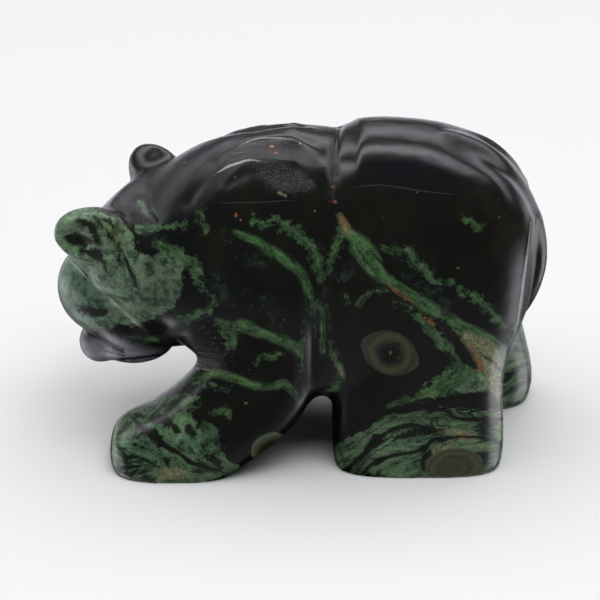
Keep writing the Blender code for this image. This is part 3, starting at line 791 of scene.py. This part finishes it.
def bear_stone():
    piece = fine_copy(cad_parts["bear"])
    mesh = piece.data
    neighbours = Neighbours(mesh)
    points = neighbours.relaxed(read_rows(mesh, "co"), SMOOTHING_ROUNDS)
    write_points(mesh, points)
    tree = BVHTree.FromObject(piece, bpy.context.evaluated_depsgraph_get())
    seen = seen_from_photo(points, read_rows(mesh, "normal"), tree, neighbours)
    where, across = picture_of(points), picture_of(other_side(points))
    soft = soft_weight(SOFTENED | SOFTENED_HEAD, SOFTENED, where, across, seen, SOFTENED_EDGE)
    points = neighbours.softened(points, soft, SOFTENING_ROUNDS)
    soft = soft_weight(CREASE_SIDES, CREASE_SIDES, where, across, seen, CREASE_EDGE)
    points = neighbours.softened(points, soft, CREASE_ROUNDS)
    write_points(mesh, points)
    normals = neighbours.smoothed(read_rows(mesh, "normal"), BLEND_ROUNDS)
    points = carve(points, normals, where, across, seen)
    points[:, 2] = np.where(points[:, 2] < SOLE_BAND, 0, points[:, 2])
    write_points(mesh, points)
    store_pattern(mesh, picture_of(points), seen)
    mesh.shade_smooth()
    mesh.materials.clear()
    mesh.materials.append(jasper(tree))
    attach(piece, "root")
    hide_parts("bear")


def store(mesh, name, values):
    attribute = mesh.attributes.new(name, "FLOAT", "POINT")
    attribute.data.foreach_set("value", np.ascontiguousarray(values, np.float32))


def store_pattern(mesh, where, seen):
    """Keeps the stone's pattern on the mesh in millimetres, and how hidden each point is, from 0 to 1."""
    to_mm = 1 / PIXELS_PER_MM
    unseen = UNSEEN * (1 - seen)
    store(mesh, "hidden", 1 - seen)
    for name, lines in BAND_FIELDS.items():
        store(mesh, name, band_depth(lines, where) * to_mm * seen + unseen)
    side, _, _, way = nearest_line(VEINS | BROKEN_VEINS, where, FLOW_REACH)
    store(mesh, "flow_side", side * to_mm)
    store(mesh, "flow_way", way * to_mm)
    store(mesh, "eye", eye_depth(where) * to_mm * seen + unseen)
    store(mesh, "patch", area_depth(PATCHES, where) * to_mm)
    store(mesh, "layered", area_depth(LAYERED, where) * to_mm)
    for name, lines in LINE_FIELDS.items():
        side, near, half, _ = nearest_line(lines, where, LINE_REACH)
        store(mesh, name + "_side", side * to_mm)
        store(mesh, name + "_near", near * to_mm * seen + unseen)
        store(mesh, name + "_half", half * to_mm)


class Nodes:
    """Writes a node tree, with each call giving back an output socket."""

    def __init__(self, tree):
        self.tree = tree
        tree.nodes.clear()
        coordinates = self.add("TexCoord").outputs["Object"]
        self.place = self.vector("SCALE", coordinates, scale=1 / MM)
        self.height = self.split(self.place)[2]

    def put(self, socket, value):
        if hasattr(value, "is_output"):
            self.tree.links.new(value, socket)
        elif value is not None:
            socket.default_value = value

    def add(self, kind, *values, **settings):
        """A new node with some settings, its first inputs linked or set."""
        node = self.tree.nodes.new("ShaderNode" + kind)
        for name, setting in settings.items():
            setattr(node, name, setting)
        for socket, value in zip(node.inputs, values):
            self.put(socket, value)
        return node

    def math(self, operation, a, b=None):
        return self.add("Math", a, b, operation=operation).outputs[0]

    def plus(self, a, b):
        return self.math("ADD", a, b)

    def minus(self, a, b):
        return self.math("SUBTRACT", a, b)

    def times(self, a, b):
        return self.math("MULTIPLY", a, b)

    def split(self, vector):
        return list(self.add("SeparateXYZ", vector).outputs)

    def vector(self, operation, a, b=None, scale=None):
        node = self.add("VectorMath", a, b, operation=operation)
        if scale is not None:
            self.put(node.inputs["Scale"], scale)
        return node.outputs["Value" if operation in ("DOT_PRODUCT", "LENGTH", "DISTANCE") else "Vector"]

    def field(self, name):
        return self.add("Attribute", attribute_type="GEOMETRY", attribute_name=name).outputs["Fac"]

    def step(self, value, low, high):
        """0 below low, 1 above high, smooth between. high may be the lower one."""
        flipped = int(low > high)
        numbers = (min(low, high), max(low, high), flipped, 1 - flipped)
        return self.add("MapRange", value, *numbers, interpolation_type="SMOOTHSTEP").outputs[0]

    def noise(self, name, at=None):
        """One of the noise textures, between 0 and 1."""
        settings = NOISES[name]
        vector = self.place if at is None else at
        for shift in settings[4:]:
            vector = self.vector("ADD", vector, shift)
        node = self.add("TexNoise", vector)
        for socket, value in zip(("Scale", "Detail", "Roughness", "Distortion"), settings):
            node.inputs[socket].default_value = value
        return node.outputs["Fac"]

    def swing(self, name, amount, middle=0.5):
        """A noise as an unevenness around zero."""
        return self.times(self.minus(self.noise(name), middle), amount)

    def mix(self, factor, first, second, kind="MIX"):
        node = self.add("Mix", factor, data_type="RGBA", blend_type=kind)
        self.put(node.inputs[6], first if hasattr(first, "is_output") else (*first, 1))
        self.put(node.inputs[7], second if hasattr(second, "is_output") else (*second, 1))
        return node.outputs[2]

    def ramp(self, value, stops):
        node = self.add("ValToRGB", value)
        elements = node.color_ramp.elements
        while len(elements) < len(stops):
            elements.new(1)
        for element, (position, colour) in zip(elements, stops):
            element.position = position
            element.color = (*colour, 1)
        return node.outputs[0]


def spot_on(tree, x, y):
    """The place on the surface that the photograph shows at a pixel, in millimetres."""
    place = tree.ray_cast(*ray_through(x, y))[0]
    return tuple(value / MM for value in place)


def covered(n, name, edge, low, high):
    """0 outside the bands of a field and 1 inside, with an uneven edge."""
    return n.step(n.plus(n.field(name), edge), low, high)


def near_line(n, name):
    """1 where the nearest line of a kind is in reach."""
    return n.step(n.field(name + "_near"), 0.0, 0.1)


def line_depth(n, name):
    """How far inside the nearest line of a kind the stone is, in millimetres."""
    return n.minus(n.field(name + "_half"), n.math("ABSOLUTE", n.field(name + "_side")))


def hidden_bend(n, name, width, bend):
    """Winding bands for the sides that the photograph does not show, as a depth in millimetres."""
    off = n.times(n.math("ABSOLUTE", n.minus(n.noise(name), bend)), 0.9 / NOISES[name][0])
    return n.minus(n.swing("vein swell", 5 * width, 0.44), off)


def both_sides(n, seen_field, hidden_field):
    """A seen field where the photograph shows the stone, and a made-up one elsewhere."""
    shown = n.times(n.minus(1.0, n.field("hidden")), 4.0)
    return n.math("MAXIMUM", n.field(seen_field), n.minus(hidden_field, shown))


def grained(n, tone):
    """A tone with a fine uneven brightness."""
    return n.vector("SCALE", tone, scale=n.plus(1.0, n.swing("grain", 1.6)))


def ground(n):
    """Black stone with dim brown and blue clouds."""
    colour = n.mix(n.step(n.noise("brown clouds"), 0.42, 0.72), BLACK, UMBER)
    return n.mix(n.times(n.step(n.noise("blue clouds"), 0.50, 0.62), 0.8), colour, BLUE_BLACK)


def add_mist(n, colour, rag):
    """Dim green mist in the black."""
    mist = n.times(covered(n, "mist", rag, -0.9, 0.9), n.step(n.noise("mist"), 0.45, 0.68))
    return n.mix(mist, colour, MIST_GREEN)


def add_smooth_green(n, colour, edge):
    """Smooth green areas with dark blots, as on the head."""
    patch = n.plus(both_sides(n, "patch", n.swing("hidden patches", 12.0, 0.70)), edge)
    blots = n.step(n.plus(n.noise("blots"), n.times(patch, 0.05)), 0.43, 0.37)
    tone = grained(n, n.ramp(n.noise("mottle"), SMOOTH_TONES))
    area = n.mix(n.times(blots, 0.85), tone, DARK_GREEN)
    return n.mix(n.step(patch, -0.16, 0.24), colour, area)


def add_layered_green(n, colour, edge):
    """Layered green areas that fold along the seams, as on the feet."""
    fold = n.times(n.math("ABSOLUTE", n.field("seam_side")), 0.9)
    sheet = n.vector("MULTIPLY", n.place, (0.46, 0.46, 0.46))
    sheet = n.vector("ADD", sheet, n.add("CombineXYZ", fold, fold).outputs[0])
    tone = grained(n, n.ramp(n.noise("layers", sheet), LAYER_TONES))
    low = n.times(n.minus(LAYERED_HEIGHT, n.height), 0.35)
    feet = n.plus(low, n.swing("hidden feet", 6.0, 0.55))
    depth = n.plus(both_sides(n, "layered", feet), edge)
    return n.mix(n.step(depth, -0.08, 0.12), colour, tone)


def add_veins(n, colour, fray):
    """Crisp and broken veins, with streaks that run along them and flecks across."""
    flow = n.add("CombineXYZ", n.times(n.field("flow_way"), 0.55), n.times(n.field("flow_side"), 2.6))
    streak = n.noise("streaks", flow.outputs[0])
    both = n.plus(n.times(streak, 0.55), n.times(n.noise("flecks"), 0.45))
    tone = grained(n, n.ramp(n.plus(both, n.swing("vein clouds", 0.35)), VEIN_TONES))
    wave = n.times(n.minus(streak, 0.5), 0.8)

    edge = n.plus(n.times(wave, 0.7), n.times(fray, 0.55))
    crisp = n.plus(both_sides(n, "vein", hidden_bend(n, "crisp bend", 0.34, 0.5)), edge)
    colour = n.mix(n.times(n.step(crisp, -0.45, 0.1), 0.6), colour, VEIN_DARK)
    colour = n.mix(n.step(crisp, -0.16, 0.34), colour, tone)

    edge = n.plus(n.plus(wave, fray), n.swing("vein breaks", 2.6))
    broken = n.plus(both_sides(n, "broken", hidden_bend(n, "broken bend", 0.16, 0.47)), edge)
    colour = n.mix(n.times(n.step(broken, -0.4, 0.1), 0.5), colour, VEIN_DARK)
    return n.mix(n.times(n.step(broken, -0.24, 0.46), 0.84), colour, tone)


def add_tints(n, colour, rag):
    """Painted shade and a deeper tone, yellowish and bluish parts."""
    for name, (low, high, tint) in TINTS.items():
        colour = n.mix(covered(n, name, rag, low, high), colour, tint, "MULTIPLY")
    return colour


def add_muzzle_painted_reflection(n, colour, rag):
    # The muzzle's lilac grey, broken by noise: a painted reflection of the pale table
    grey = covered(n, "grey", n.times(rag, 0.8), -0.5, 0.8)
    grey = n.times(grey, n.step(n.noise("muzzle breaks"), 0.20, 0.46))
    return n.mix(n.times(grey, 0.9), colour, MUZZLE_PAINTED_REFLECTION)


def add_browns(n, colour, edge):
    """Tan, rust and dark streaks; some of the dark is painted shade in recesses."""
    tan = covered(n, "tan", n.times(edge, 0.9), -0.25, 0.45)
    tan_tone = n.mix(n.step(n.noise("tan grain"), 0.38, 0.64), OLIVE, TAN)
    colour = n.mix(n.times(tan, 0.7), colour, tan_tone)
    rust = covered(n, "rust", n.times(edge, 0.6), -0.08, 0.16)
    colour = n.mix(n.times(rust, 0.8), colour, RUST)
    dark = covered(n, "dark", edge, -0.10, 0.15)
    return n.mix(n.times(dark, 0.93), colour, BLACK)


def add_seams(n, colour, edge, fray):
    """Thin black seams, each in a dim halo; along the carved cuts they are painted shade."""
    off = n.math("ABSOLUTE", n.plus(n.field("seam_side"), n.times(edge, 0.30)))
    half = n.plus(n.times(n.field("seam_half"), 1.35), n.times(fray, 0.5))
    inside = n.minus(half, off)
    near = near_line(n, "seam")
    colour = n.mix(n.times(n.times(n.step(inside, -0.22, 0.0), near), 0.45), colour, BLACK)
    return n.mix(n.times(n.times(n.step(inside, -0.05, 0.06), near), 0.93), colour, BLACK)


def ringed(n, colour, centre, radius, stops, mask=None, flatness=1.0):
    """A ball of rings in the stone around a centre, all in millimetres. flatness presses it down."""
    off = n.vector("MULTIPLY", n.vector("SUBTRACT", n.place, centre), (1.0, 1.0, flatness))
    off = n.plus(n.vector("LENGTH", off), n.swing("ring wobble", RING_WOBBLE * radius))
    part = n.math("DIVIDE", off, radius)
    ripple = n.math("SINE", n.times(off, 2 * math.pi / RING_SPACING))
    grain = n.plus(n.times(n.noise("ring grain"), RING_GRAIN), RING_LEVEL)
    tone = n.vector("SCALE", n.ramp(part, stops), scale=n.plus(n.times(ripple, RING_CONTRAST), grain))
    inside = n.step(part, 1.04, 0.94)
    if mask is not None:
        inside = n.times(inside, mask)
    return n.mix(inside, colour, tone)


def dotted(n, colour, spots, tint):
    """Small spots of one tint, each a place and a radius in millimetres."""
    for centre, radius in spots:
        off = n.plus(n.vector("DISTANCE", n.place, centre), n.swing("spot edge", 0.68))
        colour = n.mix(n.step(off, radius, radius * 0.55), colour, tint)
    return colour


def add_orbs(n, colour, tree):
    """The eye-shaped orb in its black surround, and the round ones."""
    eye = covered(n, "eye", n.swing("eye edge", 0.28), -0.05, 0.12)
    around = covered(n, "eye", n.swing("eye surround", 0.5), -1.1, -0.7)
    colour = n.mix(n.times(around, 0.9), colour, BLACK)
    middle = spot_on(tree, *EYE_ORB)
    colour = ringed(n, colour, middle, EYE_RING_RADIUS, EYE_RINGS, eye)
    colour = dotted(n, colour, [(middle, EYE_DOT_RADIUS)], RUST)
    for (x, y, radius, flatness), stops in ((FOOT_ORB, FOOT_RINGS), (LEG_ORB, LEG_RINGS)):
        colour = ringed(n, colour, spot_on(tree, x, y), radius / PIXELS_PER_MM, stops, flatness=flatness)
    for centre, radius in HIDDEN_ORBS:
        colour = ringed(n, colour, centre, radius, HIDDEN_RINGS, n.field("hidden"))
    return colour


def add_specks(n, colour, tree):
    """The specks that the photograph shows, and fine grey-green dust all over."""
    for spots, tint in ((ORANGE_SPECKS, ORANGE), (RUST_SPECKS, RUST), (PALE_SPECKS, OLIVE)):
        placed = [(spot_on(tree, x, y), radius / PIXELS_PER_MM) for x, y, radius in spots]
        colour = dotted(n, colour, placed, tint)
    cell = n.add("TexVoronoi", n.place)
    cell.inputs["Scale"].default_value = 0.62
    chosen = n.step(n.vector("DOT_PRODUCT", cell.outputs["Color"], (1.0, 0.0, 0.0)), 0.72, 0.74)
    dust = n.times(n.step(cell.outputs["Distance"], 0.085, 0.04), chosen)
    return n.mix(n.times(dust, 0.7), colour, GREY_GREEN)


def add_wear(n, colour, worn, fray):
    """Scratches, pale edges that are partly wear and partly painted highlight, and lilac-grey dust in worn
    places that is partly painted sheen.
    """
    scratch = n.times(n.step(line_depth(n, "scratch"), -0.05, 0.03), near_line(n, "scratch"))
    colour = n.mix(n.times(scratch, 0.17), colour, LILAC_GREY)
    pale = n.step(n.plus(line_depth(n, "pale"), n.times(fray, 0.2)), -0.06, 0.05)
    colour = n.mix(n.times(n.times(pale, near_line(n, "pale")), 0.7), colour, PAINTED_HIGHLIGHT_AND_WEAR)
    # Lilac-grey dust in worn places, partly painted sheen
    dust_and_sheen = n.times(worn, n.step(n.noise("dust"), 0.50, 0.66))
    return n.mix(n.times(dust_and_sheen, 0.5), colour, LILAC_GREY)


def stone_colour(n, tree, rag, fray, worn):
    """The stone's layers of colour, each laid over the ones before."""
    edge = n.plus(rag, fray)
    colour = add_mist(n, ground(n), rag)
    colour = add_smooth_green(n, colour, edge)
    colour = add_layered_green(n, colour, edge)
    colour = add_veins(n, colour, fray)
    colour = add_tints(n, colour, rag)
    colour = add_muzzle_painted_reflection(n, colour, rag)
    colour = add_browns(n, colour, edge)
    colour = add_seams(n, colour, edge, fray)
    colour = add_orbs(n, colour, tree)
    colour = add_specks(n, colour, tree)
    return add_wear(n, colour, worn, fray)


def stone_roughness(n, rag, worn):
    """A varied polish, duller where the stone is worn, matt or roughly cut."""
    matt = covered(n, "matt", rag, -0.9, 1.2)
    unpolished = covered(n, "rough", n.times(rag, 0.5), -0.5, 0.4)
    dull = n.math("MAXIMUM", n.times(worn, WORN_DULLNESS), n.times(matt, MATT_DULLNESS))
    dull = n.math("MAXIMUM", dull, n.times(unpolished, ROUGH_DULLNESS))
    return n.plus(n.plus(n.times(n.noise("polish"), POLISH_RANGE), POLISH), dull)


def profile(n, name):
    """The rounded cross profile of some crisp carved lines, 1 along their middle."""
    off = n.math("DIVIDE", n.field(name + "_side"), n.math("MAXIMUM", n.field(name + "_half"), 0.08))
    rise = n.math("EXPONENT", n.times(n.times(off, off), -1.0))
    return n.times(rise, n.step(n.field(name + "_near"), 0.0, 0.5))


def stone_relief(n, worn):
    """Grit, coarser in worn places, and the crisp cuts, as a height in millimetres."""
    grit = n.times(n.plus(n.times(worn, 2.0), 0.55), GRIT_HEIGHT)
    return n.minus(n.times(n.noise("grit"), grit), n.times(profile(n, "cut"), CUT_DEPTH))


def jasper(tree):
    """The stone's material. The tree is the surface on which spots find their places."""
    material = bpy.data.materials.new("jasper")
    material.use_nodes = True
    n = Nodes(material.node_tree)
    rag = n.swing("rag", 1.5)
    fray = n.swing("fray", 0.7)
    worn = covered(n, "worn", rag, -0.4, 0.7)
    bsdf = n.add("BsdfPrincipled", stone_colour(n, tree, rag, fray, worn))
    bsdf.inputs["Specular IOR Level"].default_value = 0.5
    bsdf.inputs["IOR"].default_value = 1.5
    n.put(bsdf.inputs["Roughness"], stone_roughness(n, rag, worn))
    bump = n.add("Bump")
    bump.inputs["Strength"].default_value = 1.0
    bump.inputs["Distance"].default_value = MM
    n.put(bump.inputs["Height"], stone_relief(n, worn))
    n.put(bsdf.inputs["Normal"], bump.outputs[0])
    n.add("OutputMaterial", bsdf.outputs[0])
    return material


def plain_material(name, colour, roughness, specular):
    material = bpy.data.materials.new(name)
    material.use_nodes = True
    bsdf = material.node_tree.nodes["Principled BSDF"]
    bsdf.inputs["Base Color"].default_value = colour
    bsdf.inputs["Roughness"].default_value = roughness
    bsdf.inputs["Specular IOR Level"].default_value = specular
    return material


def table():
    bpy.ops.mesh.primitive_circle_add(vertices=96, radius=TABLE_RADIUS, fill_type="NGON",
                                      location=TABLE_PLACE)
    floor = bpy.context.object
    floor.name = "table_top"
    floor.data.materials.append(plain_material("pale_table", TABLE_COLOUR, 0.9, 0.1))
    floor.visible_glossy = False


def shaded_floor():
    """A black card below the body, a painted shadow on the floor which only reflections show."""
    bpy.ops.mesh.primitive_circle_add(vertices=48, radius=1, fill_type="NGON", location=SHADED_FLOOR_PLACE)
    card = bpy.context.object
    card.name = "shaded_floor"
    card.scale = (*SHADED_FLOOR_RADII, 1)
    card.data.materials.append(plain_material("shaded_floor", SHADED_FLOOR_COLOUR, 1.0, 0.5))
    card.visible_camera = False
    card.visible_diffuse = False
    card.visible_shadow = False


def surroundings():
    """A light tent: bright behind and at the sides, two bright strips overhead, dark at the front."""
    world = bpy.data.worlds.new("tent")
    bpy.context.scene.world = world
    world.use_nodes = True
    n = Nodes(world.node_tree)
    x, y, z = n.split(n.add("TexCoord").outputs["Generated"])
    azimuth = n.math("ARCTAN2", x, y)
    elevation = n.math("ARCSINE", z)

    def window(angle, low, high, soft):
        rise = n.step(angle, math.radians(low - soft), math.radians(low + soft))
        fall = n.step(angle, math.radians(high + soft), math.radians(high - soft))
        return n.times(rise, fall)

    total = AMBIENT
    for left, right, low, high, soft, level in GLOWS.values():
        glow = window(elevation, low, high, soft)
        if right - left < 360:
            glow = n.times(glow, window(azimuth, left, right, AZIMUTH_SOFTNESS * soft))
        total = n.plus(n.times(glow, level), total)
    mirrored = n.add("LightPath").outputs["Is Glossy Ray"]
    total = n.times(total, n.math("MAXIMUM", mirrored, DIFFUSE_SHARE))
    n.add("OutputWorld", n.add("Background", TENT_COLOUR, total).outputs[0])


def soft_light(name, place, aim, size, power):
    """A rectangular light that reflections do not show."""
    light = bpy.data.lights.new(name, "AREA")
    light.shape = "RECTANGLE"
    light.size, light.size_y = size
    light.energy = power
    lamp = bpy.data.objects.new(name, light)
    bpy.context.scene.collection.objects.link(lamp)
    lamp.location = place
    lamp.rotation_euler = (Vector(aim) - Vector(place)).to_track_quat("-Z", "Y").to_euler()
    lamp.visible_glossy = False
    lamp.visible_camera = False


def camera():
    data = bpy.data.cameras.new("camera")
    data.sensor_width = SENSOR_WIDTH
    data.lens = SENSOR_WIDTH * VIEW_DISTANCE / (PICTURE_SIZE * MM / PIXELS_PER_MM)
    data.clip_start = 0.01
    eye = bpy.data.objects.new("camera", data)
    bpy.context.scene.collection.objects.link(eye)
    eye.location = Vector(eye_point())
    eye.rotation_euler = (Vector(VIEW_TARGET) - eye.location).to_track_quat("-Z", "Y").to_euler()
    bpy.context.scene.camera = eye


def main():
    bear_stone()
    table()
    shaded_floor()
    surroundings()
    for name, settings in LIGHTS.items():
        soft_light(name, *settings)
    camera()
    bpy.context.scene.view_settings.view_transform = "Standard"


main()
